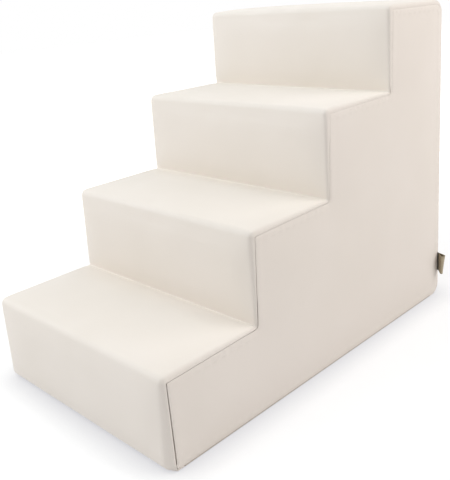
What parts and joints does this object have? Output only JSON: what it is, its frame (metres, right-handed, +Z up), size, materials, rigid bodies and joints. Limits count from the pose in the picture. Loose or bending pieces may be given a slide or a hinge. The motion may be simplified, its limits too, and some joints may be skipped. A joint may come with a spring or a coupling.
{
  "type": "pet stairs",
  "caption": "Free-standing foam pet stairs in a tight sewn cover with soft rolled edges, a folded ribbon tag and a zip across the back.",
  "frame": {"origin": "centre of the base, on the surface that the stairs stand on", "axes": "+Z up, +Y the way the stairs climb, +X across the treads to the side with the ribbon tag"},
  "size_m": [0.4234, 0.7166, 0.5613],
  "materials": {
    "foam": "matte",
    "cover_leatherette": "matte",
    "grip_fabric": "matte",
    "tag_ribbon": "satin",
    "zip_tape": "matte",
    "zip_teeth": "satin",
    "zip_metal": "satin"
  },
  "bodies": {
    "stairs": {"foam_step_1": "foam", "foam_step_2": "foam", "foam_step_3": "foam", "foam_step_4": "foam", "riser_tread_panel": "cover_leatherette", "side_panel_left": "cover_leatherette", "side_panel_right": "cover_leatherette", "back_panel_upper": "cover_leatherette", "back_panel_lower": "cover_leatherette", "bottom_panel": "grip_fabric", "ribbon_tag": "tag_ribbon", "zip_tab_left": "cover_leatherette", "zip_tab_right": "cover_leatherette", "zip_tape_upper": "zip_tape", "zip_tape_lower": "zip_tape", "zip_teeth_upper": "zip_teeth", "zip_teeth_lower": "zip_teeth", "zip_end_stops": "zip_teeth", "zip_box_stop": "zip_teeth"},
    "slider": {"zip_slider": "zip_metal"},
    "pull": {"zip_pull": "zip_metal"}
  },
  "joints": [
    {"name": "zip_slide", "type": "slide", "parent": "stairs", "child": "slider", "axis": [-1, 0, 0], "range_m": [0, 0.3428], "deforming": ["zip_teeth_upper", "zip_teeth_lower"]},
    {"name": "pull_swing", "type": "hinge", "parent": "slider", "child": "pull", "pos_m": [0.1714, 0.35752, 0.062], "axis": [0, 0, -1], "range_deg": [0, 180]}
  ]
}
